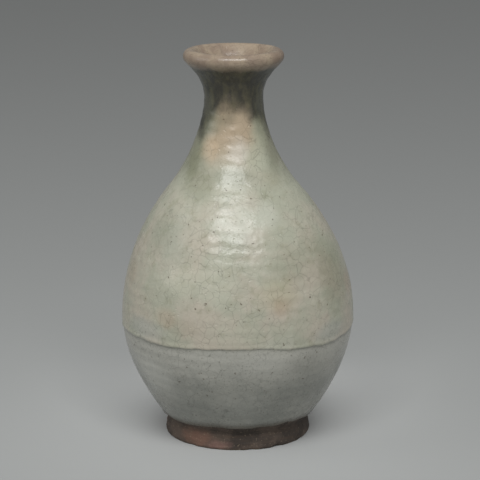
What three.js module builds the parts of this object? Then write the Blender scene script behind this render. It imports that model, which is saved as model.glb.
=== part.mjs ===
// A stoneware bottle dipped in white slip, thrown in three sections and luted together
// Millimetres, +Z up, origin on the ground at the centre of the foot
import * as THREE from 'three';

// Foot ring, turned out of the thick base
const footRadius = 53.6;
const footHeight = 13;
const footRingWidth = 9;
const footEdge = 1.1;
const footWaistRadius = 51.6;
const recessDepth = 9;
const recessTaper = 2.2;
const recessFillet = 4;

// Outer face of the clay: each height is a rise from the one before
const riseAngle = 52;
const bellyRise = 75;
const bellyRadius = 84.2;
const shoulderRise = 99.5;
const shoulderRadius = 44.6;
const shoulderAngle = 39.5;
const waistRise = 63.5;
const waistRadius = 20.3;
const mouthRise = 33;
const flareAngle = 40;
const lipRadius = 35.2;
const lipThickness = 8;

// How far each span of the outline keeps its starting and ending direction
const bellyReach = [9, 33];
const shoulderReach = [47, 24];
const neckReach = [16, 24];
const flareReach = [14, 6];

// Thickness of the thrown wall and of the floor
const baseWall = 8.5;
const bellyWall = 6.4;
const neckWall = 5.2;
const floorThickness = 8;
const floorBendRise = 8;
const floorFlatRadius = 36;

// Seams between the thrown sections, and the luting slip in them
const bellySeamRise = 12;
const neckSeamRise = 22.5;
const jointSlipThickness = 1.2;
const seamRidge = 1.1;
const seamRidgeReach = 6;

// Coats, their uneven borders, and the clearance that keeps neighbouring coats apart
const slipThickness = 0.5;
const glazeThickness = 0.4;
const coatClearance = 0.08;
const slipEdgeDrop = 5;
const slipEdgeSwing = 3.4;
const slipInsideDepth = 15;
const glazeEdgeRise = 4.6;
const glazeEdgeSwing = 1.5;
const glazeRollReach = 2.2;
const glazeRoll = 0.35;
const glazeInsideDepth = 40;
const glazeEndGap = 0.4;
const coatStep = 0.3;
const bandMargin = 2;

// Waves of each border: turns round the bottle, shift in radians, weight
const slipWaves = [[1, 0.6, 2], [2, 2.4, 3], [5, 1.1, 2], [7, 4.0, 1]];
const glazeWaves = [[2, 1.3, 2], [3, 0.2, 2], [6, 2.9, 2]];

// The neck was set on a little to the left of the foot's centre
const neckOffset = -2.9;
const leanRise = 16;
const leanLength = 110;

// Fineness of the faceted surfaces
const segments = 34;
const bodyStep = 20;
const neckStep = 13;
const mouthStep = 9;
const innerBodyStep = 30;
const innerNeckStep = 16;
const rollSteps = 5;
const bendSteps = 3;

// Heights above the ground that follow from the rises
const bellyHeight = footHeight + bellyRise;
const shoulderHeight = bellyHeight + shoulderRise;
const waistHeight = shoulderHeight + waistRise;
const lipHeight = waistHeight + mouthRise;
const bellySeam = bellyHeight + bellySeamRise;
const neckSeam = shoulderHeight + neckSeamRise;
const floorHeight = recessDepth + floorThickness;

const radians = THREE.MathUtils.degToRad;

// A point of a profile: distance from the axis, then height
function point(radius, height) {
  return new THREE.Vector2(radius, height);
}

// A unit direction, given as its angle out from the vertical
function direction(angle) {
  return point(Math.sin(radians(angle)), Math.cos(radians(angle)));
}

// One smooth span of the outline between two points with known directions
function span(start, startAngle, end, endAngle, reach) {
  const leave = start.clone().addScaledVector(direction(startAngle), reach[0]);
  const arrive = end.clone().addScaledVector(direction(endAngle), -reach[1]);
  return new THREE.CubicBezierCurve(start, leave, arrive, end);
}

// The rim is a round roll: its centre, and where the flare meets it outside and inside
const rollRadius = lipThickness / 2;
const rollCentre = point(lipRadius - rollRadius, lipHeight - rollRadius);
const rollNormal = point(-Math.cos(radians(flareAngle)), Math.sin(radians(flareAngle)));
const flareEnd = rollCentre.clone().addScaledVector(rollNormal, -rollRadius);

const outline = [
  span(point(footWaistRadius, footHeight), riseAngle, point(bellyRadius, bellyHeight), 0, bellyReach),
  span(point(bellyRadius, bellyHeight), 0, point(shoulderRadius, shoulderHeight), -shoulderAngle, shoulderReach),
  span(point(shoulderRadius, shoulderHeight), -shoulderAngle, point(waistRadius, waistHeight), 0, neckReach),
  span(point(waistRadius, waistHeight), 0, flareEnd, flareAngle, flareReach),
];

// The outline's point and outward normal at a height, found by halving
function outlineAt(height) {
  const curve = outline.find((part) => height <= part.v3.y) ?? outline[outline.length - 1];
  let low = 0;
  let high = 1;
  for (let i = 0; i < 40; i++) {
    const middle = (low + high) / 2;
    if (curve.getPoint(middle).y < height) low = middle;
    else high = middle;
  }
  const tangent = curve.getTangent(low);
  return { place: point(curve.getPoint(low).x, height), normal: point(tangent.y, -tangent.x) };
}

// Heights through a rising list of stops in even steps, without the last stop
function stepped(stops, step) {
  return stops.slice(1).flatMap((stop, i) => {
    const count = Math.max(1, Math.round((stop - stops[i]) / step));
    return Array.from({ length: count }, (_, j) => stops[i] + ((stop - stops[i]) * j) / count);
  });
}

// Wall thickness, thinning from base to belly to neck and thickening again into the rim
function wallAt(height) {
  const { lerp, smoothstep } = THREE.MathUtils;
  const body = lerp(baseWall, bellyWall, smoothstep(height, footHeight, bellyHeight));
  const neck = lerp(body, neckWall, smoothstep(height, bellyHeight, waistHeight));
  return lerp(neck, lipThickness, smoothstep(height, waistHeight, flareEnd.y));
}

function insideOf(height) {
  const { place, normal } = outlineAt(height);
  return place.addScaledVector(normal, -wallAt(height));
}

// Adds a point to a rising or falling line of points where it passes a height
function withHeight(points, height) {
  const next = points.findIndex((entry, i) => i > 0 && (entry.y - height) * (points[i - 1].y - height) < 0);
  if (next < 0) return points;
  const share = (height - points[next - 1].y) / (points[next].y - points[next - 1].y);
  const added = points[next - 1].clone().lerp(points[next], share);
  added.y = height;
  return [...points.slice(0, next), added, ...points.slice(next)];
}

// Outer face, from the foot to the roll of the rim, cut level at the seams
const halfJoint = jointSlipThickness / 2;
const seamCuts = [bellySeam - halfJoint, bellySeam + halfJoint, neckSeam - halfJoint, neckSeam + halfJoint];
const [bellyCutLow, bellyCutHigh, neckCutLow, neckCutHigh] = seamCuts;
const glazeEdgeHeight = footHeight + glazeEdgeRise;
const slipEdgeHeight = bellyHeight - slipEdgeDrop;
const bandReach = slipEdgeSwing + bandMargin;
const bodyStops = [
  footHeight,
  glazeEdgeHeight + glazeEdgeSwing + glazeRollReach,
  slipEdgeHeight - bandReach,
  slipEdgeHeight + bandReach,
  shoulderHeight,
];
const outerHeights = [
  ...stepped(bodyStops, bodyStep),
  ...stepped([shoulderHeight, waistHeight], neckStep),
  ...stepped([waistHeight, flareEnd.y], mouthStep),
  flareEnd.y,
];
const outerFace = outerHeights.map((height) => outlineAt(height).place);
const outerPoints = seamCuts.reduce(withHeight, outerFace);

// Round roll of the rim, from its outer meeting point over the top to its inner one
const rollPoints = Array.from({ length: rollSteps }, (_, i) => {
  const turn = -radians(flareAngle) + (Math.PI * (i + 1)) / (rollSteps + 1);
  return point(rollCentre.x + rollRadius * Math.cos(turn), rollCentre.y + rollRadius * Math.sin(turn));
});

// Inner face, with the ridge that a finger leaves where it smears each seam over
const bendHeight = floorHeight + floorBendRise;
const bodyInside = stepped([bendHeight, bellySeam, neckSeam], innerBodyStep);
const neckInside = stepped([neckSeam, waistHeight, flareEnd.y], innerNeckStep);
const nearSeam = (height) => Math.min(Math.abs(height - bellySeam), Math.abs(height - neckSeam)) < seamRidgeReach;
const innerFace = [...bodyInside, ...neckInside, flareEnd.y].map(insideOf).reverse();
const seamEnds = [bellySeam, neckSeam].flatMap((seam) => [seam - seamRidgeReach, seam + seamRidgeReach]);
const smoothFace = seamEnds.reduce(withHeight, innerFace).filter((entry) => !nearSeam(entry.y));
const innerPoints = seamCuts.reduce(withHeight, smoothFace);
for (const entry of innerPoints) {
  if (seamCuts.includes(entry.y)) entry.x -= seamRidge;
}

// Floor, curving out of the wall and then level to the axis
const bendStart = insideOf(bendHeight);
const bendCorner = point((bendStart.x + floorFlatRadius) / 2, floorHeight);
const bendCurve = new THREE.QuadraticBezierCurve(bendStart, bendCorner, point(floorFlatRadius, floorHeight));
const floorPoints = [...bendCurve.getPoints(bendSteps).slice(1), point(0, floorHeight)];

// The face that the coats follow, as one line: up the outside, over the rim and down the inside
const face = [...outerFace, ...rollPoints, ...innerPoints, ...floorPoints];
const rimIndex = outerFace.length + Math.floor(rollSteps / 2);
const lengths = [0];
for (let i = 1; i < face.length; i++) lengths.push(lengths[i - 1] + face[i].distanceTo(face[i - 1]));

function faceNormal(index) {
  const before = face[Math.max(0, index - 1)];
  const after = face[Math.min(face.length - 1, index + 1)];
  const along = after.clone().sub(before).normalize();
  return index === face.length - 1 ? point(0, 1) : point(along.y, -along.x);
}
const normals = face.map((_, index) => faceNormal(index));

// The point that lies a depth above the face, a distance along it
function above(distance, depth) {
  let index = lengths.findIndex((length) => length > distance);
  if (index < 0) index = lengths.length - 1;
  const share = (distance - lengths[index - 1]) / (lengths[index] - lengths[index - 1]);
  const place = face[index - 1].clone().lerp(face[index], share);
  const normal = normals[index - 1].clone().lerp(normals[index], share).normalize();
  const lifted = place.addScaledVector(normal, depth);
  return point(Math.max(0, lifted.x), lifted.y);
}

// Distance along the face where it passes a height, outside the rim or inside it
function distanceAt(height, inside) {
  const first = inside ? rimIndex + 1 : 1;
  for (let i = first; i < face.length; i++) {
    const low = Math.min(face[i - 1].y, face[i].y);
    const high = Math.max(face[i - 1].y, face[i].y);
    if (height < low || height > high || high === low) continue;
    const share = (height - face[i - 1].y) / (face[i].y - face[i - 1].y);
    return lengths[i - 1] + share * (lengths[i] - lengths[i - 1]);
  }
  throw new Error(`the face never passes height ${height}`);
}

// How far a coat's border strays at an angle, from -1 to 1
function wave(angle, waves) {
  const total = waves.reduce((sum, [, , weight]) => sum + weight, 0);
  return waves.reduce((sum, [turns, shift, weight]) => sum + weight * Math.sin(turns * angle + shift), 0) / total;
}

const slipStart = distanceAt(slipEdgeHeight, false);
const slipEnd = distanceAt(lipHeight - slipInsideDepth, true);
const glazeStart = distanceAt(glazeEdgeHeight, false);
const glazeEnd = distanceAt(lipHeight - glazeInsideDepth, true);
const faceEnd = lengths[lengths.length - 1];

// A closed profile for a coat: along the face at one depth and back at another
function coatProfile(distances, bottom, top) {
  const under = distances.map((distance) => above(distance, bottom(distance)));
  const over = distances.map((distance) => above(distance, top(distance)));
  const loop = [...over, ...under.reverse()];
  return [...loop, loop[0]];
}

// Distances of the face's own points strictly between two places
function stations(from, to) {
  return lengths.filter((length) => length > from && length < to);
}

function slipProfile(angle) {
  const start = slipStart + slipEdgeSwing * wave(angle, slipWaves);
  const distances = [start, ...stations(slipStart + slipEdgeSwing, slipEnd), slipEnd];
  return coatProfile(distances, () => coatClearance, () => coatClearance + slipThickness);
}

// The glaze steps up where the slip begins, and ends above the foot in a low roll
function outerGlazeProfile(angle) {
  const slipLine = slipStart + slipEdgeSwing * wave(angle, slipWaves);
  const start = glazeStart + glazeEdgeSwing * wave(angle, glazeWaves);
  const lift = slipThickness + coatClearance;
  const distances = [
    start,
    start + glazeRollReach / 2,
    ...stations(glazeStart + glazeEdgeSwing + glazeRollReach / 2, slipStart - slipEdgeSwing),
    slipLine - coatStep * 2,
    slipLine - coatStep,
    ...stations(slipStart + slipEdgeSwing, slipEnd),
    slipEnd + coatStep,
    slipEnd + coatStep * 2,
    ...stations(slipEnd + coatStep * 2, glazeEnd),
    glazeEnd,
  ];
  const coversSlip = (distance) => distance >= slipLine - coatStep && distance <= slipEnd + coatStep;
  const bottom = (distance) => coatClearance + (coversSlip(distance) ? lift : 0);
  const roll = (distance) => (distance === distances[1] ? glazeRoll : 0);
  return coatProfile(distances, bottom, (distance) => bottom(distance) + glazeThickness + roll(distance));
}

// The poured lining ends on the axis, so its profile isn't closed by a step back
function innerGlazeProfile() {
  const start = glazeEnd + glazeEndGap;
  const distances = [start, ...stations(start, faceEnd), faceEnd];
  const over = distances.map((distance) => above(distance, coatClearance + glazeThickness));
  const under = distances.map((distance) => above(distance, coatClearance));
  return [...under.reverse(), ...over];
}

// Points of the clay's own face between two heights, outside and inside
function outsideBetween(low, high) {
  return outerPoints.filter((entry) => entry.y >= low && entry.y <= high);
}

function insideBetween(low, high) {
  return innerPoints.filter((entry) => entry.y >= low && entry.y <= high);
}

function closed(points) {
  return [...points, points[0]];
}

function lowerSectionProfile() {
  const ringInner = footRadius - footRingWidth;
  return [
    point(0, recessDepth),
    point(ringInner - recessTaper - recessFillet, recessDepth),
    point(ringInner - recessTaper, recessDepth - recessFillet / 2),
    point(ringInner, footEdge),
    point(ringInner + footEdge, 0),
    point(footRadius - footEdge, 0),
    point(footRadius, footEdge),
    point(footWaistRadius, footHeight - footEdge),
    ...outsideBetween(footHeight, bellyCutLow),
    ...insideBetween(bendHeight, bellyCutLow),
    ...floorPoints,
  ];
}

function neckProfile() {
  return closed([
    ...outsideBetween(neckCutHigh, flareEnd.y),
    ...rollPoints,
    ...insideBetween(neckCutHigh, lipHeight),
  ]);
}

function ringProfile(low, high) {
  return closed([...outsideBetween(low, high), ...insideBetween(low, high)]);
}

// Sideways shift of the neck at a height
function leanAt(height) {
  const start = bellyHeight + leanRise;
  return neckOffset * THREE.MathUtils.smoothstep(height, start, start + leanLength);
}

// Turns a closed profile round the axis, ring by ring, into a named mesh that leans as the neck does
function turned(name, look, profileAt) {
  const count = profileAt(0).length;
  const geometry = new THREE.LatheGeometry(profileAt(0), segments);
  const places = geometry.getAttribute('position');
  for (let i = 0; i <= segments; i++) {
    const angle = ((i % segments) / segments) * Math.PI * 2;
    profileAt(angle).forEach((entry, j) => {
      const x = entry.x * Math.sin(angle) + leanAt(entry.y);
      places.setXYZ(i * count + j, x, entry.y, entry.x * Math.cos(angle));
    });
  }
  geometry.rotateX(Math.PI / 2);
  geometry.computeVertexNormals();
  const mesh = new THREE.Mesh(geometry, new THREE.MeshStandardMaterial(look));
  mesh.name = name;
  return mesh;
}

const greyClay = { color: 0x6f665b, roughness: 0.85, metalness: 0 };
const ironClay = { color: 0x4a3b31, roughness: 0.88, metalness: 0 };
const lutingSlip = { color: 0x8a8073, roughness: 0.9, metalness: 0 };
const whiteSlip = { color: 0xd9d5c4, roughness: 0.7, metalness: 0 };
const celadonGlaze = { color: 0x9d9f8d, roughness: 0.25, metalness: 0 };
const liningGlaze = { color: 0x7d7c6e, roughness: 0.3, metalness: 0 };

const bottle = new THREE.Group();
bottle.name = 'bottle';
bottle.add(
  turned('lower_section', ironClay, lowerSectionProfile),
  turned('belly_joint_slip', lutingSlip, () => ringProfile(bellyCutLow, bellyCutHigh)),
  turned('upper_section', greyClay, () => ringProfile(bellyCutHigh, neckCutLow)),
  turned('neck_joint_slip', lutingSlip, () => ringProfile(neckCutLow, neckCutHigh)),
  turned('neck_and_mouth', greyClay, neckProfile),
  turned('white_slip_coat', whiteSlip, slipProfile),
  turned('outer_glaze', celadonGlaze, outerGlazeProfile),
  turned('inner_glaze', liningGlaze, innerGlazeProfile),
);

export default bottle;
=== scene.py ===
# A stoneware bottle dipped in white slip under a thin green-grey glaze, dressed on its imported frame
import math

import bpy
import numpy as np
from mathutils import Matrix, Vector, noise


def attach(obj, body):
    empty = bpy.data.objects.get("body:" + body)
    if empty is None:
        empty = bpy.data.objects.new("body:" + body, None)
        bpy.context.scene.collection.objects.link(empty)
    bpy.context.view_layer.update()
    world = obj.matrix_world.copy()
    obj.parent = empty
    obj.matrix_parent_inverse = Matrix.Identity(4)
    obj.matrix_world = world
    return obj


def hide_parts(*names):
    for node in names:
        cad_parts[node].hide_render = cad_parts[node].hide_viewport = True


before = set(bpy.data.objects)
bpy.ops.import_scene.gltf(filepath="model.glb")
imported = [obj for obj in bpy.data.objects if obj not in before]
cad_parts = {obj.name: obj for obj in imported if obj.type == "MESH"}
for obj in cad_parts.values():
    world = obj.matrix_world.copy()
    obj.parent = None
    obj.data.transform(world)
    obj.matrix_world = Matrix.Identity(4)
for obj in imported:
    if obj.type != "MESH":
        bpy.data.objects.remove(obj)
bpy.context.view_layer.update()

MM = 0.001

# Camera: in front of the bottle, higher than its mouth and looking slightly down
CAMERA_PLACE = (0.0017, -1.460, 0.500)
CAMERA_PITCH = math.radians(13.7)
FOCAL_PIXELS = 2050
IMAGE_PIXELS = 480
SENSOR = 36.0
CAMERA_REACH = 60.0

# Driving sizes of the bottle in millimetres, as the frame was built
FOOT_RADIUS = 53.6
FOOT_HEIGHT = 13.0
FOOT_RING_WIDTH = 9.0
FOOT_EDGE = 1.1
FOOT_WAIST_RADIUS = 51.6
RECESS_DEPTH = 9.0
RECESS_TAPER = 2.2
RECESS_FILLET = 4.0
RISE_ANGLE = 52.0
BELLY_HEIGHT = 88.0
BELLY_RADIUS = 84.2
SHOULDER_HEIGHT = 187.5
SHOULDER_RADIUS = 44.6
SHOULDER_ANGLE = 39.5
WAIST_HEIGHT = 251.0
WAIST_RADIUS = 20.3
LIP_HEIGHT = 284.0
FLARE_ANGLE = 40.0
LIP_RADIUS = 35.2
LIP_THICKNESS = 8.0
BELLY_REACH = (9.0, 33.0)
SHOULDER_REACH = (47.0, 24.0)
NECK_REACH = (16.0, 24.0)
FLARE_REACH = (14.0, 6.0)
BASE_WALL = 8.5
BELLY_WALL = 6.4
NECK_WALL = 5.2
FLOOR_HEIGHT = 17.0
FLOOR_BEND_HEIGHT = 25.0
FLOOR_FLAT_RADIUS = 36.0
BELLY_SEAM = 100.0
NECK_SEAM = 210.0
HALF_JOINT = 0.6
LEAN = -2.9
LEAN_START = 104.0
LEAN_LENGTH = 110.0

# Coats in millimetres: depths above the clay, and where they begin and end
CLEARANCE = 0.08
GLAZE = 0.4
SLIP = 0.5
SLIP_EDGE_HEIGHT = 83.0
SLIP_EDGE_SWING = 3.4
GLAZE_EDGE_HEIGHT = 17.6
GLAZE_EDGE_SWING = 1.5
SLIP_INSIDE_DEPTH = 15.0
GLAZE_INSIDE_DEPTH = 40.0
GLAZE_END_GAP = 0.4
SLIP_WAVES = ((1, 0.6, 2), (2, 2.4, 3), (5, 1.1, 2), (7, 4.0, 1))
GLAZE_WAVES = ((2, 1.3, 2), (3, 0.2, 2), (6, 2.9, 2))

# Fineness of the meshes: steps round the bottle, and spacings along the profile in millimetres
FINE_SEGMENTS = 384
FINE_STEP = 1.0
HIDDEN_SEGMENTS = 128
HIDDEN_STEP = 4.0
HIDDEN_RIM_STEP = 1.4
HIDDEN_RIM_BAND = 20.0
JOINT_STEP = 0.6
NECK_STEP = 2.0
FOOT_STEP = 0.8
UNDERSIDE_STEP = 5.0
LINING_STEP = 1.6
LINING_UNDERSIDE_STEP = 3.5
AXIS_GAP = 0.5
EDGE_STEP = 0.4
EDGE_BAND = 9.0
BORDER_STEP = 0.5
BORDER_BAND = 7.0
RIM_STEP = 0.7
RIM_BAND = 22.0

# Distances above an uneven border at which a coat's rows are even again
GLAZE_EVEN = 16.0
SLIP_EVEN = 30.0

# Relief in millimetres: rises of the rings, of the slip's raised border and of the glaze's beaded edge
RING_RISE = 0.1
RING_PITCH = 7.4
BORDER_RISE = 0.22
BEAD_RISE = 0.38
FINGER_RING_RISE = 0.22
FINGER_RING_PITCH = 9.5
TURNING_RISE = 0.1
TURNING_PITCH = 2.7

# The foot: how far its four corners are rounded off, the point of the outer line where it ends, how its
# relief fades above it, and the heights between which the wall goes from fine rows to coarse ones
FOOT_ROUNDING = (RECESS_FILLET, FOOT_EDGE, 1.6 * FOOT_EDGE, 2.4)
FOOT_JOIN = 24
FOOT_FADE = 16.0
FINE_WALL_END = 34.0
COARSE_WALL_START = 36.0

# Swells of a surface: rise, size and which pattern
GLAZE_SWELLS = ((0.42, 52.0, 1.0), (0.16, 13.0, 6.0), (0.05, 4.0, 3.0))
FOOT_SWELLS = ((0.25, 18.0, 2.0), (0.2, 5.0, 5.0), (0.1, 1.8, 8.0))
LINING_SWELLS = ((0.3, 24.0, 5.0),)

# How the pattern number of a field moves it along X, Y and Z
FIELD_SHIFT = (1.0, 1.7, 0.6)

# Stage: the floor's size in metres, its tones, and the places, in millimetres, where it is painted paler as
# painted light
FLOOR_RADIUS = 9.0
FLOOR_SIDES = 96
FLOOR_TONE = (147, 149, 148)
NEAR_PAINTED_LIGHT_TONE = (174, 176, 175)
NEAR_PAINTED_LIGHT_CENTRE = (0, 0, 0)
NEAR_PAINTED_LIGHT_RADII = (160, 160, 160)
BEHIND_PAINTED_LIGHT_TONE = (206, 208, 207)
BEHIND_PAINTED_LIGHT_CENTRE = (4, 78, 0)
BEHIND_PAINTED_LIGHT_RADII = (83, 104, 83)
AMBIENT = 0.43
SKY_TONE = (113, 115, 114)
LAMP_TARGET = (0.0, 0.0, 0.14)

# Lamps: name, degrees round from the front, degrees up, distance, width and height in metres, watts
LAMPS = (
    ("key", 0, 52.5, 2.4, 1.9, 0.84, 42.2),
    ("top", 0, 88, 1.5, 1.3, 1.3, 1.2),
    ("left_fill", -80, 26, 1.8, 0.9, 0.9, 3.6),
    ("right_fill", 75, 30, 1.8, 0.9, 0.9, 0.4),
)


# Profiles: arrays of radius and height in millimetres
def direction(angle):
    turn = math.radians(angle)
    return np.array([math.sin(turn), math.cos(turn)])


def curve(start, corner, end, t):
    """Points from start to end on a curve that a corner pulls towards it."""
    return (1 - t) ** 2 * start + 2 * (1 - t) * t * corner + t**2 * end


def lengths_along(points):
    """Distance of each point from the first one, along their line."""
    return np.concatenate([[0.0], np.cumsum(np.linalg.norm(np.diff(points, axis=0), axis=1))])


def span(start, start_angle, end, end_angle, reach, count=240):
    """A smooth line between two points, with its direction and pull given at both."""
    start = np.array(start)
    end = np.array(end)
    leave = start + direction(start_angle) * reach[0]
    arrive = end - direction(end_angle) * reach[1]
    t = np.linspace(0.0, 1.0, count)[:, None]
    return (1 - t) ** 3 * start + 3 * (1 - t) ** 2 * t * leave + 3 * (1 - t) * t**2 * arrive + t**3 * end


def smooth(value, low, high):
    t = np.clip((value - low) / (high - low), 0.0, 1.0)
    return t * t * (3 - 2 * t)


def lean_at(height):
    return LEAN * smooth(height, LEAN_START, LEAN_START + LEAN_LENGTH)


ROLL_RADIUS = LIP_THICKNESS / 2
ROLL_CENTRE = np.array([LIP_RADIUS - ROLL_RADIUS, LIP_HEIGHT - ROLL_RADIUS])
ROLL_NORMAL = np.array([-math.cos(math.radians(FLARE_ANGLE)), math.sin(math.radians(FLARE_ANGLE))])
FLARE_END = ROLL_CENTRE - ROLL_NORMAL * ROLL_RADIUS


def outer_line():
    foot = (FOOT_WAIST_RADIUS, FOOT_HEIGHT)
    belly = (BELLY_RADIUS, BELLY_HEIGHT)
    shoulder = (SHOULDER_RADIUS, SHOULDER_HEIGHT)
    waist = (WAIST_RADIUS, WAIST_HEIGHT)
    spans = [
        span(foot, RISE_ANGLE, belly, 0, BELLY_REACH),
        span(belly, 0, shoulder, -SHOULDER_ANGLE, SHOULDER_REACH),
        span(shoulder, -SHOULDER_ANGLE, waist, 0, NECK_REACH),
        span(waist, 0, FLARE_END, FLARE_ANGLE, FLARE_REACH),
    ]
    return np.vstack([spans[0]] + [part[1:] for part in spans[1:]])


def line_normals(points):
    along = np.gradient(points, axis=0)
    along /= np.linalg.norm(along, axis=1)[:, None]
    return np.stack([along[:, 1], -along[:, 0]], axis=1)


def wall_at(height):
    body = BASE_WALL + (BELLY_WALL - BASE_WALL) * smooth(height, FOOT_HEIGHT, BELLY_HEIGHT)
    neck = body + (NECK_WALL - body) * smooth(height, BELLY_HEIGHT, WAIST_HEIGHT)
    return neck + (LIP_THICKNESS - neck) * smooth(height, WAIST_HEIGHT, FLARE_END[1])


OUTER = outer_line()
OUTER_NORMALS = line_normals(OUTER)
INNER = (OUTER - OUTER_NORMALS * wall_at(OUTER[:, 1])[:, None])[::-1]
INNER = INNER[INNER[:, 1] > FLOOR_BEND_HEIGHT]


def roll_line(count=40):
    turns = np.linspace(-math.radians(FLARE_ANGLE), math.pi - math.radians(FLARE_ANGLE), count)[1:-1]
    return ROLL_CENTRE + ROLL_RADIUS * np.stack([np.cos(turns), np.sin(turns)], axis=1)


def floor_line(count=40):
    start = INNER[-1]
    corner = np.array([(start[0] + FLOOR_FLAT_RADIUS) / 2, FLOOR_HEIGHT])
    end = np.array([FLOOR_FLAT_RADIUS, FLOOR_HEIGHT])
    bend = curve(start, corner, end, np.linspace(0.0, 1.0, count)[1:, None])
    flat_radii = np.linspace(FLOOR_FLAT_RADIUS, 0.0, count)[1:]
    flat = np.stack([flat_radii, np.full(count - 1, FLOOR_HEIGHT)], axis=1)
    return np.vstack([bend, flat])


# The face that the coats follow, as one line: up the outside, over the rim and down the inside
FACE = np.vstack([OUTER, roll_line(), INNER, floor_line()])
FACE_NORMALS = line_normals(FACE)
FACE_LENGTHS = lengths_along(FACE)
RIM_LENGTH = FACE_LENGTHS[np.argmax(FACE[:, 1])]


def on_face(distance, depth):
    """Radius and height of the points at these distances along the face, lifted by a depth."""
    radius = np.interp(distance, FACE_LENGTHS, FACE[:, 0])
    height = np.interp(distance, FACE_LENGTHS, FACE[:, 1])
    across = np.interp(distance, FACE_LENGTHS, FACE_NORMALS[:, 0])
    up = np.interp(distance, FACE_LENGTHS, FACE_NORMALS[:, 1])
    return np.maximum(radius + across * depth, 0.0), height + up * depth


def distance_at(height, inside=False):
    """Distance along the face where it passes a height, outside the rim or inside it."""
    part = FACE_LENGTHS > RIM_LENGTH if inside else FACE_LENGTHS <= RIM_LENGTH
    heights = FACE[part, 1]
    lengths = FACE_LENGTHS[part]
    order = np.argsort(heights)
    return float(np.interp(height, heights[order], lengths[order]))


def wave(angle, waves):
    """A sum of sines round the bottle, each with its turns, shift and weight, from -1 to 1 at most."""
    total = sum(weight for _, _, weight in waves)
    return sum(weight * np.sin(turns * angle + shift) for turns, shift, weight in waves) / total


SLIP_START = distance_at(SLIP_EDGE_HEIGHT)
SLIP_END = distance_at(LIP_HEIGHT - SLIP_INSIDE_DEPTH, inside=True)
GLAZE_START = distance_at(GLAZE_EDGE_HEIGHT)
GLAZE_END = distance_at(LIP_HEIGHT - GLAZE_INSIDE_DEPTH, inside=True)
FACE_END = FACE_LENGTHS[-1]


def field(points, size, pattern):
    """Smooth noise round 0 at points in millimetres, with features of that size."""
    offset = Vector([pattern * part for part in FIELD_SHIFT])
    flat = points.reshape(-1, 3) * (1.0 / size)
    values = [noise.noise(Vector(point) + offset) for point in flat]
    return np.array(values).reshape(points.shape[:-1])


def swells(points, parts):
    """Sum of fields, each with its rise, size and pattern."""
    return sum(rise * field(points, size, pattern) for rise, size, pattern in parts)


def places(radius, height, angle):
    """Points in millimetres from radius, height and angle, with the neck's lean."""
    return np.stack([radius * np.sin(angle) + lean_at(height), -radius * np.cos(angle), height], axis=-1)


# Meshes: a grid of rows along a profile by steps round the axis
def angles(segments):
    return np.linspace(0.0, 2 * math.pi, segments, endpoint=False)[None, :]


def placed(name, data):
    """A new object in the scene, from a mesh, a lamp or a camera."""
    holder = bpy.data.objects.new(name, data)
    bpy.context.scene.collection.objects.link(holder)
    return holder


def turned(name, radius, height, closes, material, attributes=None):
    """A closed mesh turned round the axis. The profile closes on itself, or it starts and ends on the axis
    and has no attributes."""
    rows, segments = radius.shape
    points = places(radius, height, angles(segments)) * MM
    step = np.arange(segments)
    after = (step + 1) % segments
    quads = []
    for row in range(rows if closes else rows - 1):
        low = row * segments
        high = ((row + 1) % rows) * segments
        quads.append(np.stack([low + step, low + after, high + after, high + step], axis=1))
    faces = np.vstack(quads).tolist()
    vertices = points.reshape(-1, 3).tolist()
    if not closes:
        for row, ring in ((0, (after, step)), (rows - 1, (step, after))):
            pole = len(vertices)
            vertices.append([float(lean_at(height[row, 0])) * MM, 0.0, float(points[row, :, 2].mean())])
            faces += [[row * segments + int(a), row * segments + int(b), pole] for a, b in zip(*ring)]
    mesh = bpy.data.meshes.new(name)
    mesh.from_pydata(vertices, [], faces)
    for label, values in (attributes or {}).items():
        layer = mesh.attributes.new(label, "FLOAT", "POINT")
        layer.data.foreach_set("value", values.reshape(-1).astype(np.float32))
    mesh.shade_smooth()
    mesh.materials.append(material)
    piece = placed(name, mesh)
    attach(piece, "root")
    return piece


def resampled(points, step):
    """The same line with its points evenly spaced, about a step apart."""
    lengths = lengths_along(points)
    even = np.linspace(0.0, lengths[-1], max(2, int(round(lengths[-1] / step)) + 1))
    return np.stack([np.interp(even, lengths, points[:, 0]), np.interp(even, lengths, points[:, 1])], axis=1)


def all_round(values, segments):
    """The same values at every step round the axis."""
    return np.repeat(values[:, None], segments, axis=1)


# Materials
def colour(red, green, blue):
    """A display colour from 0 to 255 as a linear one."""
    parts = [value / 255 for value in (red, green, blue)]
    return tuple(v / 12.92 if v <= 0.04045 else ((v + 0.055) / 1.055) ** 2.4 for v in parts) + (1.0,)


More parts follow.
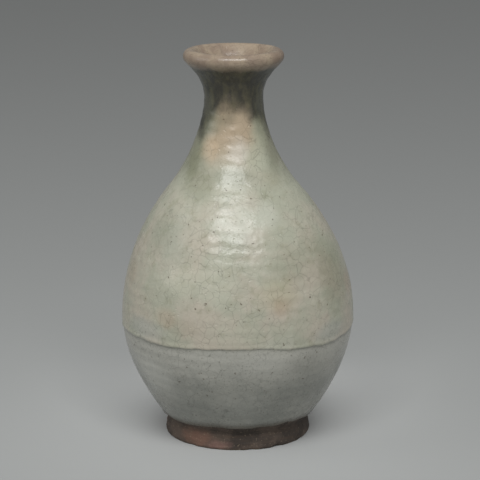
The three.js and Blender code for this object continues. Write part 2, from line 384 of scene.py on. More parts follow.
class Look:
    """A material with short calls for the nodes that it is made of."""

    def __init__(self, name, **settings):
        self.material = bpy.data.materials.new(name)
        self.material.use_nodes = True
        self.tree = self.material.node_tree
        self.shader = self.tree.nodes["Principled BSDF"]
        for socket, value in settings.items():
            self.shader.inputs[socket.replace("_", " ")].default_value = value
        self.place = self.add("ShaderNodeTexCoord").outputs["Object"]

    def add(self, kind, links=None, **settings):
        node = self.tree.nodes.new(kind)
        for name, value in settings.items():
            setattr(node, name, value)
        for socket, value in (links or {}).items():
            self.join(value, node.inputs[socket])
        return node

    def join(self, value, socket):
        if isinstance(value, bpy.types.NodeSocket):
            self.tree.links.new(value, socket)
        else:
            socket.default_value = value

    def math(self, operation, first, second=0.0):
        return self.add("ShaderNodeMath", {0: first, 1: second}, operation=operation).outputs[0]

    def ramp(self, value, low, high, start=0.0, end=1.0):
        """A smooth step from start to end while the value goes from low to high."""
        links = {0: value, 1: low, 2: high, 3: start, 4: end}
        return self.add("ShaderNodeMapRange", links, interpolation_type="SMOOTHSTEP").outputs[0]

    def mix(self, share, first, second):
        """The first colour where the share is 0, the second where it is 1."""
        node = self.add("ShaderNodeMix", data_type="RGBA")
        self.join(share, node.inputs[0])
        self.join(first, node.inputs[6])
        self.join(second, node.inputs[7])
        return node.outputs[2]

    def over(self, tone, mask, share, display):
        """A tone with a display colour laid over it, to this share where the mask is 1."""
        return self.mix(self.math("MULTIPLY", mask, share), tone, colour(*display))

    def attribute(self, name):
        return self.add("ShaderNodeAttribute", attribute_name=name).outputs["Fac"]

    def height(self):
        """Height above the ground in millimetres."""
        parts = self.add("ShaderNodeSeparateXYZ", {0: self.place})
        return self.math("MULTIPLY", parts.outputs[2], 1000.0)

    def stretched(self, size, shift=(0.0, 0.0, 0.0), squash=(1.0, 1.0, 1.0)):
        """Coordinates in which a pattern of that size, in millimetres, has a size of one."""
        scale = tuple(1000.0 / (size * part) for part in squash)
        return self.add("ShaderNodeMapping", {0: self.place, "Location": shift, "Scale": scale}).outputs[0]

    def noise(self, size, detail=2.0, rough=0.5, shift=(0.0, 0.0, 0.0), squash=(1.0, 1.0, 1.0)):
        """Noise from about 0 to 1 whose main features are that many millimetres across."""
        where = self.stretched(size, shift, squash)
        links = {"Vector": where, "Scale": 1.0, "Detail": detail, "Roughness": rough}
        return self.add("ShaderNodeTexNoise", links).outputs["Fac"]

    def away(self, centre, radii):
        """Distance from a place in millimetres, which is 1 at the radii along X, Y and Z."""
        place = tuple(value * MM for value in centre)
        scale = tuple(1.0 / (radius * MM) for radius in radii)
        offset = self.add("ShaderNodeVectorMath", {0: self.place, 1: place}, operation="SUBTRACT")
        scaled = self.add("ShaderNodeVectorMath", {0: offset.outputs[0], 1: scale}, operation="MULTIPLY")
        return self.add("ShaderNodeVectorMath", {0: scaled.outputs[0]}, operation="LENGTH").outputs["Value"]

    def spot(self, centre, radii, ragged=0.25, size=9.0):
        """A soft patch of 1 round a place in millimetres, with an uneven edge."""
        uneven = self.math("MULTIPLY", self.noise(size, shift=(centre[0], centre[2], 3.0)), ragged * 2)
        shifted = self.math("ADD", self.away(centre, radii), self.math("SUBTRACT", uneven, ragged))
        return self.ramp(shifted, 0.25, 1.1, 1.0, 0.0)

    def glow(self, centre, radii, power):
        """A share that falls from 1 at a place in millimetres to a half at the radii and 0 far away."""
        falloff = self.math("POWER", self.away(centre, radii), power)
        return self.math("DIVIDE", 1.0, self.math("ADD", falloff, 1.0))

    def patches(self, tone, table, ragged=0.25, size=9.0):
        """A tone with a table's patches over it, one after the other."""
        for centre, radii, display, share in table:
            tone = self.over(tone, self.spot(centre, radii, ragged, size), share, display)
        return tone

    def bump(self, height, strength, distance, under=None):
        """A normal bent by a height, on top of another bump if there is one."""
        links = {"Height": height, "Strength": strength, "Distance": distance}
        if under is not None:
            links["Normal"] = under
        return self.add("ShaderNodeBump", links).outputs["Normal"]

    def set(self, socket, value):
        self.join(value, self.shader.inputs[socket])


def plain_clay(name, base, dark, grain):
    """Dry fired clay for the pieces that the coats hide."""
    look = Look(name, Roughness=0.88)
    clouds = look.noise(14.0, detail=4.0)
    specks = look.ramp(look.noise(grain, detail=1.0), 0.62, 0.75)
    tone = look.mix(look.ramp(clouds, 0.35, 0.65), colour(*base), colour(*dark))
    look.set("Base Color", look.over(tone, specks, 0.5, dark))
    look.set("Normal", look.bump(look.noise(1.2, detail=3.0), 0.4, 0.0004))
    return look.material


def lining_material():
    """The thin glaze poured inside, greyer and duller than the outside."""
    look = Look("lining_glaze", Roughness=0.42)
    clouds = look.noise(22.0, detail=4.0)
    tone = look.mix(look.ramp(clouds, 0.35, 0.65), colour(112, 108, 92), colour(86, 84, 70))
    streaks = look.ramp(look.noise(5.0, detail=3.0, squash=(1.0, 1.0, 5.0)), 0.45, 0.8)
    look.set("Base Color", look.over(tone, streaks, 0.5, (60, 56, 44)))
    look.set("Normal", look.bump(look.noise(3.0, detail=3.0), 0.3, 0.0004))
    return look.material


def foot_material():
    """Bare iron-rich clay of the foot: dark brown, red where the flame reached it, with coarse grit."""
    look = Look("iron_clay", Roughness=0.86)
    clouds = look.noise(16.0, detail=5.0, rough=0.6)
    tone = look.mix(look.ramp(clouds, 0.38, 0.62), colour(88, 76, 67), colour(62, 54, 48))
    tone = look.patches(tone, FOOT_PATCHES, ragged=0.4, size=7.0)
    turning = look.noise(2.4, detail=2.0, squash=(9.0, 9.0, 1.0))
    tone = look.mix(look.ramp(turning, 0.5, 0.8, 0.0, 0.35), tone, colour(88, 70, 56))
    grit = look.ramp(look.noise(1.3, detail=1.0), 0.66, 0.74)
    tone = look.over(tone, grit, 0.6, (142, 128, 108))
    lowest = look.ramp(look.height(), 0.2, 1.6, 1.0, 0.0)
    worn = look.math("MULTIPLY", lowest, look.ramp(look.noise(5.0), 0.4, 0.6))
    look.set("Base Color", look.over(tone, worn, 0.5, (120, 98, 78)))
    coarse = look.bump(look.noise(2.2, detail=4.0, rough=0.65), 0.6, 0.0006)
    look.set("Normal", look.bump(look.noise(0.8, detail=2.0), 0.5, 0.0003, coarse))
    return look.material


# Patches: centre and radii in millimetres, display colour, share at the middle
TAN = (196, 170, 138)
BLUSH = (190, 152, 128)
OLIVE = (120, 122, 98)
GLAZE_PATCHES = (
    # The neck and just under it: tan in front, olive and darker at the sides; a pale patch at the front of
    # the neck's root is a painted highlight, and two darker places in front below it are painted shade
    # between and below the highlights
    ((-20, -22, 216), (9, 14, 14), TAN, 0.5),
    ((-8, -22, 238), (8, 12, 8), (96, 94, 76), 0.35),
    ((-22, -8, 247), (8, 14, 12), (108, 108, 96), 0.4),
    ((16, -8, 247), (8, 14, 12), (108, 108, 96), 0.35),
    # Painted shade between the neck's highlight and the shoulder's
    ((-4, -37, 199), (21, 16, 9), (140, 143, 124), 0.62),
    # Painted shade below the shoulder's highlight
    ((0, -63, 156), (18, 14, 9), (148, 150, 134), 0.3),
    # Painted highlight at the front of the neck's root
    ((1, -29, 216), (11, 14, 12), (200, 194, 182), 0.55),
    ((15, -28, 212), (13, 16, 17), (178, 182, 162), 0.6),
    ((15, -16, 227), (9, 14, 14), (170, 172, 150), 0.6),
    ((-17, -17, 234), (10, 16, 12), (122, 122, 102), 0.5),
    ((18, -12, 231), (9, 18, 12), (122, 122, 102), 0.25),
    ((-29, -22, 206), (13, 20, 20), OLIVE, 0.5),
    ((24, -30, 196), (12, 16, 10), (150, 144, 120), 0.25),
    # The shoulder and belly: greener, darker, paler and browner places, with a painted highlight at the
    # right of the shoulder and painted light in front above the slip's border
    ((-29, -33, 194), (18, 22, 16), OLIVE, 0.38),
    ((-50, -42, 158), (24, 26, 20), (128, 138, 120), 0.45),
    ((-44, -58, 145), (20, 18, 15), (128, 138, 118), 0.36),
    ((-14, -76, 129), (16, 16, 24), (196, 195, 178), 0.3),
    ((-38, -68, 132), (24, 20, 14), (196, 194, 176), 0.4),
    ((40, -64, 141), (22, 20, 20), OLIVE, 0.27),
    ((54, -46, 152), (18, 20, 18), OLIVE, 0.22),
    ((28, -75, 122), (20, 18, 15), (156, 154, 116), 0.3),
    ((-66, -52, 92), (26, 26, 11), (166, 169, 161), 0.6),
    ((66, -52, 90), (24, 26, 10), (165, 167, 159), 0.6),
    # Painted highlight at the right of the shoulder
    ((20, -52, 174), (12, 16, 14), (204, 206, 194), 0.35),
    ((66, -38, 130), (22, 28, 32), OLIVE, 0.45),
    ((-37, -74, 98), (16, 18, 10), (150, 138, 118), 0.25),
    # Painted light in front, above the slip's border
    ((0, -84, 98), (22, 20, 14), (192, 184, 168), 0.25),
    # Faint brown and pink blushes above the slip's border
    ((30, -76, 114), (9, 14, 9), (168, 140, 116), 0.3),
    ((-50, -66, 104), (12, 16, 9), BLUSH, 0.22),
    ((-80, -26, 128), (10, 18, 14), (160, 142, 120), 0.4),
    ((82, -20, 120), (9, 18, 12), (158, 138, 116), 0.4),
    # Painted light and painted shade on the grey, up to the slip's border: paler at the left edge and in
    # front, darker at the right
    ((-62, -50, 57), (24, 30, 20), (192, 192, 184), 0.58),
    # Painted shade at the right of the grey
    ((50, -68, 70), (20, 20, 15), (110, 110, 102), 0.25),
    ((3, -74, 38), (24, 22, 17), (188, 188, 180), 0.18),
    ((-42, -54, 47), (24, 20, 12), (188, 188, 180), 0.2),
    ((28, -78, 86), (24, 18, 10), (190, 188, 176), 0.25),
    ((18, -82, 74), (20, 20, 12), (188, 188, 180), 0.18),
    # The same kinds of patches on the back and sides
    ((-22, 22, 222), (12, 14, 18), (158, 142, 116), 0.5),
    ((20, 16, 214), (10, 14, 14), TAN, 0.4),
    ((46, 62, 128), (12, 12, 11), BLUSH, 0.35),
    ((-34, 74, 108), (11, 12, 8), BLUSH, 0.35),
    ((-40, 46, 172), (14, 14, 12), OLIVE, 0.3),
    ((8, 62, 160), (14, 14, 10), (176, 160, 130), 0.3),
)
FOOT_PATCHES = (
    ((-30, -43, 7), (18, 16, 9), (118, 88, 74), 0.8),
    ((-14, -51, 3), (12, 8, 5), (128, 97, 88), 0.6),
    ((-50, 14, 6), (14, 18, 8), (104, 74, 58), 0.6),
    ((30, 44, 7), (20, 14, 8), (108, 78, 60), 0.6),
)
RIM_PATCHES = (
    # Right end of the rim: reddish brown, and darker as painted shade on the side turned from the main light
    ((31, -10, 280), (11, 20, 9), (110, 90, 79), 0.4),
    ((-38, -6, 280), (9, 20, 8), (132, 114, 101), 0.4),
    ((-8, 33, 280), (14, 10, 7), (128, 104, 88), 0.4),
)


def cream_slip(look, height):
    """Cream slip under the glaze, with warm and green clouds, thin places and runs."""
    clouds = look.noise(34.0, detail=4.0, rough=0.55)
    tone = look.mix(look.ramp(clouds, 0.38, 0.62), colour(179, 172, 157), colour(166, 167, 150))
    tone = look.over(tone, look.ramp(height, 130.0, 200.0), 0.45, (168, 171, 153))
    thin = look.ramp(look.noise(9.0, detail=5.0, rough=0.62), 0.52, 0.72)
    tone = look.over(tone, thin, 0.42, (138, 138, 114))
    runs = look.ramp(look.noise(5.0, detail=3.0, squash=(1.0, 1.0, 4.5), shift=(3.0, 1.0, 0.0)), 0.5, 0.75)
    return look.over(tone, runs, 0.25, (190, 188, 172))


def bare_clay(look, above_slip, above_glaze):
    """Grey clay under clear glaze, with two kinds of grains, paler near the slip, scorched at its edge."""
    clouds = look.noise(24.0, detail=4.0, shift=(9.0, 2.0, 5.0))
    tone = look.mix(look.ramp(clouds, 0.38, 0.62), colour(150, 150, 142), colour(136, 137, 130))
    tone = look.over(tone, look.ramp(above_slip, -40.0, -4.0), 0.75, (177, 176, 167))
    dark_grains = look.ramp(look.noise(1.5, detail=2.0, shift=(1.0, 4.0, 2.0)), 0.6, 0.72)
    tone = look.over(tone, dark_grains, 0.5, (74, 74, 66))
    pale_grains = look.ramp(look.noise(1.7, detail=1.0, shift=(7.0, 3.0, 8.0)), 0.64, 0.74)
    tone = look.over(tone, pale_grains, 0.4, (172, 170, 158))
    return look.over(tone, look.ramp(above_glaze, 0.5, 8.0, 1.0, 0.0), 0.85, (70, 62, 50))


def slip_over_clay(look, above_slip, clay, slip):
    """Slip over clay with a ragged border, and a darker line where the glaze pools against it."""
    ragged = look.math("MULTIPLY", look.noise(3.2, detail=3.0), 3.0)
    border = look.math("ADD", above_slip, look.math("SUBTRACT", ragged, 1.5))
    tone = look.mix(look.ramp(border, -0.5, 0.6), clay, slip)
    pooled = look.math("MULTIPLY", look.ramp(border, -3.0, -0.3), look.ramp(border, -0.3, 0.5, 1.0, 0.0))
    return look.over(tone, pooled, 0.35, (92, 92, 78))


def dark_glaze_and_painted_shade_neck(look, height, tone):
    """The neck under the flare: dark olive glaze with painted shade of the flare over it, the painted shade
    reaching lower at the sides than in front; the front, painted as lit, is tan, partly thin slip and partly
    painted light.
    """
    front = look.attribute("front")
    drift = look.math("MULTIPLY", look.noise(11.0, detail=4.0, shift=(2.0, 8.0, 1.0)), 22.0)
    # Painted light: the front faces the lamps, so the painted shade ends higher there
    lit = look.math("MULTIPLY", look.ramp(front, 0.55, 0.95), 18.0)
    shaded = look.math("SUBTRACT", look.math("ADD", height, drift), look.math("ADD", lit, 11.0))
    # Olive where the painted shade fades out, lower at the sides
    tone = look.over(tone, look.ramp(shaded, 186.0, 214.0), 0.6, (112, 113, 92))
    # Tan front: thin slip, and painted light where the front faces the lamps
    tan = look.math("MULTIPLY", look.ramp(front, 0.62, 0.95), look.ramp(height, 196.0, 226.0))
    tone = look.over(tone, tan, 0.9, (176, 158, 134))
    runs = look.ramp(look.noise(4.0, detail=5.0, rough=0.6, squash=(1.0, 1.0, 3.5)), 0.4, 0.68)
    # Dark olive glaze, darkened further as painted shade under the flare
    dark_glaze_and_painted_shade_tone = look.mix(runs, colour(47, 48, 43), colour(76, 74, 57))
    return look.mix(look.math("MULTIPLY", look.ramp(shaded, 216.0, 236.0), 0.95), tone, dark_glaze_and_painted_shade_tone)


def tan_mouth(look, from_rim, tone):
    """The tan mouth, where the glaze is thin over the rolled rim and the flare, and the dark inside."""
    wander = look.math("MULTIPLY", look.noise(8.0, detail=4.0, shift=(5.0, 5.0, 1.0)), 7.0)
    reach = look.math("ADD", from_rim, look.math("SUBTRACT", wander, 3.5))
    mouth = look.math("MULTIPLY", look.ramp(reach, -15.6, -9.0), look.ramp(reach, 16.0, 27.0, 1.0, 0.0))
    clouds = look.ramp(look.noise(10.0, detail=4.0, shift=(4.0, 1.0, 7.0)), 0.36, 0.64)
    tone = look.mix(mouth, tone, look.mix(clouds, colour(156, 141, 122), colour(138, 122, 107)))
    return look.mix(look.ramp(reach, 18.0, 30.0), tone, colour(84, 78, 62))


def glaze_material():
    """The glaze over cream slip, over bare grey clay below the slip's border, and over the dark neck, whose
    darkness is partly painted shade under the flare; some of its patches are painted highlights and painted
    shade.
    """
    look = Look("celadon_glaze", Specular_IOR_Level=0.5)
    height = look.height()
    above_slip = look.attribute("above_slip_edge")
    clay = bare_clay(look, above_slip, look.attribute("above_glaze_edge"))
    tone = slip_over_clay(look, above_slip, clay, cream_slip(look, height))
    # The neck's dark glaze and painted shade, then the patches, among them painted highlights and painted
    # shade
    tone = look.patches(dark_glaze_and_painted_shade_neck(look, height, tone), GLAZE_PATCHES)
    tone = look.patches(tan_mouth(look, look.attribute("from_rim"), tone), RIM_PATCHES)

    # Iron spots, and fine crackle that is stained more in some places than in others
    spots = look.ramp(look.noise(2.6, detail=1.0, shift=(6.0, 9.0, 3.0)), 0.72, 0.78)
    tone = look.over(tone, spots, 0.7, (74, 60, 44))
    lines = crackle_lines(look)
    stained = look.ramp(look.noise(26.0, detail=3.0, shift=(8.0, 6.0, 2.0)), 0.34, 0.66, 0.08, 0.3)
    look.set("Base Color", look.over(tone, lines, stained, (46, 42, 34)))

    gloss = look.noise(12.0, detail=4.0, shift=(1.0, 1.0, 6.0))
    look.set("Roughness", look.ramp(gloss, 0.3, 0.7, 0.22, 0.36))
    pinholes = look.ramp(look.noise(1.9, detail=0.0, shift=(2.0, 2.0, 9.0)), 0.74, 0.82, 1.0, 0.0)
    skin = look.bump(look.noise(6.0, detail=4.0, rough=0.5), 0.35, 0.0012)
    skin = look.bump(pinholes, 0.5, 0.0003, skin)
    look.set("Normal", look.bump(lines, -0.15, 0.0002, skin))
    return look.material


def crackle_lines(look):
    """Thin lines between the cells of a crackled glaze."""
    bent = look.noise(9.0, detail=2.0)
    where = look.stretched(6.5)
    moved = look.add("ShaderNodeVectorMath", {0: where, 1: bent}, operation="ADD").outputs[0]
    cells = look.add("ShaderNodeTexVoronoi", {"Vector": moved, "Scale": 1.0}, feature="DISTANCE_TO_EDGE")
    return look.ramp(cells.outputs["Distance"], 0.0, 0.045, 1.0, 0.0)


# Relief of the surfaces, in millimetres
def dents(angle, distance, radius, marks):
    """Sum of round dents or lumps, each at an angle and distance, with its size and rise."""
    total = np.zeros(np.broadcast(angle, distance, radius).shape)
    for mark_angle, mark_distance, size, rise in marks:
        turn = np.angle(np.exp(1j * (angle - mark_angle)))
        away = ((turn * radius) ** 2 + (distance - mark_distance) ** 2) / size**2
        total += rise * np.exp(-away)
    return total


def random_marks(seed, count, distances, sizes, rises):
    """Dents or lumps at random places, within the ranges given."""
    draw = np.random.default_rng(seed)
    return [
        (draw.uniform(0, 2 * math.pi), draw.uniform(*distances), draw.uniform(*sizes), draw.uniform(*rises))
        for _ in range(count)
    ]


def ridge(distance, middle, width):
    """A rounded ridge that is 1 high along a border."""
    return np.exp(-(((distance - middle) / width) ** 2))


def stops(*parts):
    """Rising distances: each part is a start, an end and a spacing."""
    rows = [np.arange(start, end, gap) for start, end, gap in parts]
    return np.concatenate(rows + [[parts[-1][1]]])


def tremble(angle, count, seed, size):
    """Uneven values round the bottle that meet where they start."""
    values = np.random.default_rng(seed).normal(0.0, size, count)
    values = (values + np.roll(values, 1) + np.roll(values, 2)) / 2
    return np.interp(angle, np.linspace(0, 2 * math.pi, count + 1), np.append(values, values[0]))


def glaze_border(angle):
    return GLAZE_START + GLAZE_EDGE_SWING * wave(angle, GLAZE_WAVES) + tremble(angle, 96, 5, 0.55)


def slip_border(angle):
    return SLIP_START + SLIP_EDGE_SWING * wave(angle, SLIP_WAVES) + tremble(angle, 72, 11, 0.9)


def from_border(base, swing, start, even):
    """Distances that begin on an uneven border and are even again some way above it."""
    return base + swing * (1 - smooth(base, start, start + even))


def glaze_relief(points, angle, distance, radius, height):
    """Throwing rings in a spiral, swells, and small pits and lumps."""
    spiral = 2 * math.pi * (height + 1.5 * field(points, 30.0, 9.0)) / RING_PITCH + angle
    rings = RING_RISE * (0.5 + field(points, 46.0, 4.0)) * np.sin(spiral)
    marks = random_marks(7, 60, (GLAZE_START, RIM_LENGTH), (0.9, 2.2), (-0.3, 0.3))
    return rings + swells(points, GLAZE_SWELLS) + dents(angle, distance, radius, marks)


def glaze_surface():
    """The skin that shows: glaze over slip and clay, from its edge above the foot to inside the neck."""
    angle = angles(FINE_SEGMENTS)
    border = glaze_border(angle)
    base = stops(
        (GLAZE_START, GLAZE_START + EDGE_BAND, EDGE_STEP),
        (GLAZE_START + EDGE_BAND, SLIP_START - BORDER_BAND, FINE_STEP),
        (SLIP_START - BORDER_BAND, SLIP_START + BORDER_BAND, BORDER_STEP),
        (SLIP_START + BORDER_BAND, RIM_LENGTH - RIM_BAND, FINE_STEP),
        (RIM_LENGTH - RIM_BAND, RIM_LENGTH + RIM_BAND, RIM_STEP),
        (RIM_LENGTH + RIM_BAND, GLAZE_END, FINE_STEP),
    )[:, None]
    distance = from_border(base, border - GLAZE_START, GLAZE_START, GLAZE_EVEN)
    radius, height = on_face(distance, 0.0)
    points = places(radius, height, angle)
    above_glaze = distance - border
    above_slip = distance - slip_border(angle)

    # Depth of the coats, the slip's raised border, the beaded edge, and the relief between the two ends
    depth = CLEARANCE + GLAZE + (SLIP + CLEARANCE) * smooth(above_slip, -0.7, 0.7)
    depth -= (SLIP + CLEARANCE) * smooth(distance, SLIP_END, SLIP_END + 2)
    depth -= 0.8 * GLAZE * smooth(distance, GLAZE_END - 3, GLAZE_END)
    depth += BORDER_RISE * ridge(above_slip, 1.6, 1.3)
    depth *= smooth(above_glaze, -0.5, 1.1)
    depth += BEAD_RISE * (1 + 1.2 * field(points, 9.0, 2.0)) * ridge(above_glaze, 1.5, 1.0)
    fade = smooth(above_glaze, 0.0, 5.0) * (1 - smooth(distance, GLAZE_END - 4, GLAZE_END))
    depth += glaze_relief(points, angle, distance, radius, height) * fade
    over = on_face(distance, depth)

    below = stops(
        (GLAZE_START, RIM_LENGTH - HIDDEN_RIM_BAND, UNDERSIDE_STEP),
        (RIM_LENGTH - HIDDEN_RIM_BAND, RIM_LENGTH + HIDDEN_RIM_BAND, HIDDEN_RIM_STEP),
        (RIM_LENGTH + HIDDEN_RIM_BAND, GLAZE_END, HIDDEN_STEP),
    )[::-1, None]
    under_distance = from_border(below, border - GLAZE_START, GLAZE_START, GLAZE_EVEN)
    under = on_face(under_distance, CLEARANCE / 2)
    all_distances = np.vstack([distance, under_distance])
    attributes = {
        "front": np.broadcast_to(np.cos(angle), all_distances.shape),
        "above_slip_edge": all_distances - slip_border(angle),
        "above_glaze_edge": all_distances - border,
        "from_rim": all_distances - RIM_LENGTH,
    }
    radius, height = [np.vstack(pair) for pair in zip(over, under)]
    piece = turned("glaze_surface", radius, height, True, glaze_material(), attributes)
    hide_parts("outer_glaze")


def slip_layer(material):
    """The white slip under the glaze, from its border to just inside the mouth."""
    angle = angles(HIDDEN_SEGMENTS)
    base = stops(
        (SLIP_START, RIM_LENGTH - HIDDEN_RIM_BAND, HIDDEN_STEP),
        (RIM_LENGTH - HIDDEN_RIM_BAND, RIM_LENGTH + HIDDEN_RIM_BAND, HIDDEN_RIM_STEP),
        (RIM_LENGTH + HIDDEN_RIM_BAND, SLIP_END, HIDDEN_STEP),
    )[:, None]
    distance = from_border(base, SLIP_EDGE_SWING * wave(angle, SLIP_WAVES), SLIP_START, SLIP_EVEN)
    over = on_face(distance, CLEARANCE + 0.6 * SLIP)
    under = on_face(distance[::-1], CLEARANCE / 2)
    radius, height = [np.vstack(pair) for pair in zip(over, under)]
    piece = turned("slip_layer", radius, height, True, material)
    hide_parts("white_slip_coat")


def lining(material):
    """The poured lining, with the thrower's finger rings under it."""
    segments = HIDDEN_SEGMENTS * 2
    angle = angles(segments)
    start = GLAZE_END + GLAZE_END_GAP
    end = FACE_END - AXIS_GAP
    distance = all_round(np.linspace(start, end, int((FACE_END - start) / LINING_STEP)), segments)
    radius, height = on_face(distance, 0.0)
    points = places(radius, height, angle)
    rings = FINGER_RING_RISE * np.sin(2 * math.pi * distance / FINGER_RING_PITCH + angle)
    relief = (rings + swells(points, LINING_SWELLS)) * smooth(distance, start, start + 8)
    relief *= smooth(radius, 0.0, 14.0)
    depth = CLEARANCE + GLAZE * (0.2 + 0.8 * smooth(distance, start, start + 3)) + relief
    over = on_face(distance, depth)
    under_count = int((FACE_END - start) / LINING_UNDERSIDE_STEP)
    under_distance = all_round(np.linspace(end, start, under_count), segments)
    under = on_face(under_distance, CLEARANCE / 2)
    radius, height = [np.vstack(pair) for pair in zip(under, over)]
    piece = turned("lining", radius, height, False, material)
    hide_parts("inner_glaze")


def rounded(corners, reach, count=7):
    """A line through corners, each rounded off over its reach."""
    points = [corners[0]]
    t = np.linspace(0.0, 1.0, count)[:, None]
    for before, corner, after, size in zip(corners, corners[1:], corners[2:], reach):
        enter = corner + (before - corner) / np.linalg.norm(before - corner) * size
        leave = corner + (after - corner) / np.linalg.norm(after - corner) * size
        points += list(curve(enter, corner, leave, t))
    return np.array(points + [corners[-1]])


def radius_at(line, height):
    """Radius of a line of the wall at a height."""
    order = np.argsort(line[:, 1])
    return np.interp(height, line[order, 1], line[order, 0])


def wall_between(low, high, step, line, rising):
    """The part of a line of the wall between two heights, upwards or downwards."""
    heights = np.linspace(low, high, max(2, int((high - low) / step)))
    part = np.stack([radius_at(line, heights), heights], axis=1)
    return part if rising else part[::-1]


def lower_wall(material):
    """The lower half of the body with its turned foot ring and recess."""
    ring_inner = FOOT_RADIUS - FOOT_RING_WIDTH
    wall_start = OUTER[FOOT_JOIN]
    corners = np.array(
        [
            (0.4, RECESS_DEPTH),
            (ring_inner - RECESS_TAPER, RECESS_DEPTH),
            (ring_inner, 0.0),
            (FOOT_RADIUS, 0.0),
            (FOOT_WAIST_RADIUS, FOOT_HEIGHT),
            tuple(wall_start),
        ]
    )
    foot = resampled(rounded(corners, FOOT_ROUNDING), FOOT_STEP)
    top = BELLY_SEAM - HALF_JOINT
    profile = np.vstack(
        [
            foot,
            wall_between(wall_start[1] + FOOT_STEP, FINE_WALL_END, FOOT_STEP, OUTER, True),
            wall_between(COARSE_WALL_START, top, HIDDEN_STEP, OUTER, True),
            wall_between(FLOOR_BEND_HEIGHT, top, HIDDEN_STEP, INNER, False),
            resampled(floor_line(), HIDDEN_STEP)[:-1],
        ]
    )
    angle = angles(FINE_SEGMENTS)
    radius = all_round(profile[:, 0], FINE_SEGMENTS)
    height = all_round(profile[:, 1], FINE_SEGMENTS)
    lengths = lengths_along(profile)[:, None]
    normals = line_normals(profile)

    # Turning marks and swells, chips along the ring's outer edge, and grit
    edge = lengths[np.argmin(np.abs(profile[:, 0] - FOOT_RADIUS) + profile[:, 1]), 0]
    chips = random_marks(3, 9, (edge - 1.5, edge + 1.5), (1.6, 3.6), (-1.1, -0.5))
    grit = random_marks(4, 90, (edge - 6, edge + 6), (0.6, 1.0), (0.15, 0.4))
    relief = TURNING_RISE * np.sin(2 * math.pi * lengths / TURNING_PITCH + 0.6 * np.sin(angle))
    relief = relief + swells(places(radius, height, angle), FOOT_SWELLS)
    relief += dents(angle, lengths, radius, chips) + dents(angle, lengths, radius, grit)
    foot_end = lengths[len(foot)]
    relief *= (1 - smooth(lengths, foot_end, foot_end + FOOT_FADE)) * smooth(radius, 0.0, 6.0)
    radius = radius + normals[:, :1] * relief
    height = np.maximum(height + normals[:, 1:] * relief, 0.0)
    piece = turned("lower_wall_and_foot", radius, height, False, material)
    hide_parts("lower_section")


def hidden_wall(name, node, profile, material):
    """A fine twin of a piece that the coats hide, closed on itself."""
    radius = all_round(profile[:, 0], HIDDEN_SEGMENTS)
    height = all_round(profile[:, 1], HIDDEN_SEGMENTS)
    piece = turned(name, radius, height, True, material)
    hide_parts(node)


def ring_between(low, high, step):
    """Profile of the wall between two heights, up the outside and down the inside."""
    outside = wall_between(low, high, step, OUTER, True)
    inside = wall_between(low, high, step, INNER, False)
    return np.vstack([outside, inside])


def neck_profile():
    """Profile of the neck with its flare and rolled rim."""
    low = NECK_SEAM + HALF_JOINT
    outside = wall_between(low, FLARE_END[1], NECK_STEP, OUTER, True)
    inside = wall_between(low, INNER[0][1], NECK_STEP, INNER, False)
    return np.vstack([outside, roll_line(14), inside])


grey_clay = plain_clay("grey_clay", (112, 103, 92), (84, 78, 70), 1.6)
luting_slip = plain_clay("luting_slip", (140, 130, 116), (120, 112, 100), 1.0)
white_slip = plain_clay("white_slip", (218, 214, 198), (198, 194, 176), 1.2)

belly_joint = ring_between(BELLY_SEAM - HALF_JOINT, BELLY_SEAM + HALF_JOINT, JOINT_STEP)
upper_half = ring_between(BELLY_SEAM + HALF_JOINT, NECK_SEAM - HALF_JOINT, HIDDEN_STEP)
neck_joint = ring_between(NECK_SEAM - HALF_JOINT, NECK_SEAM + HALF_JOINT, JOINT_STEP)

lower_wall(foot_material())
hidden_wall("belly_seam_slip", "belly_joint_slip", belly_joint, luting_slip)
hidden_wall("upper_wall", "upper_section", upper_half, grey_clay)
hidden_wall("neck_seam_slip", "neck_joint_slip", neck_joint, luting_slip)
hidden_wall("neck_and_mouth_wall", "neck_and_mouth", neck_profile(), grey_clay)
slip_layer(white_slip)
lining(lining_material())
glaze_surface()


# Stage: a pale floor that fills the view, under a pale sky that only the camera and reflections see
def floor_disc():
    """The floor, with painted light that makes it paler towards the bottle and behind it, where the main
    lamp's shadow falls, so that this shadow is lighter.
    """
    mesh = bpy.data.meshes.new("floor")
    turns = [2 * math.pi * i / FLOOR_SIDES for i in range(FLOOR_SIDES)]
    edge = [(FLOOR_RADIUS * math.cos(t), FLOOR_RADIUS * math.sin(t), 0.0) for t in turns]
    mesh.from_pydata(edge, [], [list(range(FLOOR_SIDES))])
    look = Look("floor", Roughness=0.9, Specular_IOR_Level=0.1)
    # Painted light: paler towards the bottle, falling off away from it
    near = look.glow(NEAR_PAINTED_LIGHT_CENTRE, NEAR_PAINTED_LIGHT_RADII, 2.0)
    tone = look.mix(near, colour(*FLOOR_TONE), colour(*NEAR_PAINTED_LIGHT_TONE))
    # Painted light behind the bottle, where the main lamp's shadow falls
    behind = look.glow(BEHIND_PAINTED_LIGHT_CENTRE, BEHIND_PAINTED_LIGHT_RADII, 5.0)
    look.set("Base Color", look.mix(behind, tone, colour(*BEHIND_PAINTED_LIGHT_TONE)))
    mesh.materials.append(look.material)
    placed("floor", mesh)


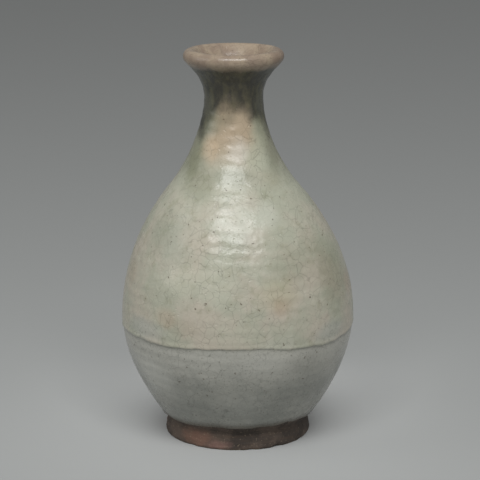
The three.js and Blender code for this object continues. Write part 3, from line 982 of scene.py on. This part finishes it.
def background(nodes, tone, strength):
    shader = nodes.new("ShaderNodeBackground")
    shader.inputs["Color"].default_value = tone
    shader.inputs["Strength"].default_value = strength
    return shader.outputs[0]


def sky():
    """White light from all round, and the sky's own tone for the camera and for reflections."""
    world = bpy.data.worlds.new("sky")
    bpy.context.scene.world = world
    world.use_nodes = True
    nodes = world.node_tree.nodes
    join = world.node_tree.links.new
    nodes.clear()
    rays = nodes.new("ShaderNodeLightPath").outputs
    seen = rays["Is Camera Ray"]
    for kind in ("Is Glossy Ray", "Is Transmission Ray"):
        either = nodes.new("ShaderNodeMath")
        either.operation = "MAXIMUM"
        join(seen, either.inputs[0])
        join(rays[kind], either.inputs[1])
        seen = either.outputs[0]
    blend = nodes.new("ShaderNodeMixShader")
    join(seen, blend.inputs[0])
    join(background(nodes, (1.0, 1.0, 1.0, 1.0), AMBIENT), blend.inputs[1])
    join(background(nodes, colour(*SKY_TONE), 1.0), blend.inputs[2])
    join(blend.outputs[0], nodes.new("ShaderNodeOutputWorld").inputs["Surface"])


def softbox(name, azimuth, elevation, distance, width, height, watts):
    """An area lamp turned to the bottle."""
    lamp = bpy.data.lights.new(name, "AREA")
    lamp.shape = "RECTANGLE"
    lamp.size = width
    lamp.size_y = height
    lamp.energy = watts
    turn = math.radians(azimuth)
    rise = math.radians(elevation)
    away = Vector((math.sin(turn) * math.cos(rise), -math.cos(turn) * math.cos(rise), math.sin(rise)))
    holder = placed(name, lamp)
    holder.location = Vector(LAMP_TARGET) + away * distance
    holder.rotation_euler = (-away).to_track_quat("-Z", "Y").to_euler()


def camera():
    lens = bpy.data.cameras.new("camera")
    lens.sensor_width = SENSOR
    lens.lens = FOCAL_PIXELS * SENSOR / IMAGE_PIXELS
    lens.clip_end = CAMERA_REACH
    holder = placed("camera", lens)
    holder.location = CAMERA_PLACE
    holder.rotation_euler = (math.pi / 2 - CAMERA_PITCH, 0.0, 0.0)
    bpy.context.scene.camera = holder


camera()
floor_disc()
sky()
for lamp_settings in LAMPS:
    softbox(*lamp_settings)
bpy.context.scene.view_settings.view_transform = "Standard"
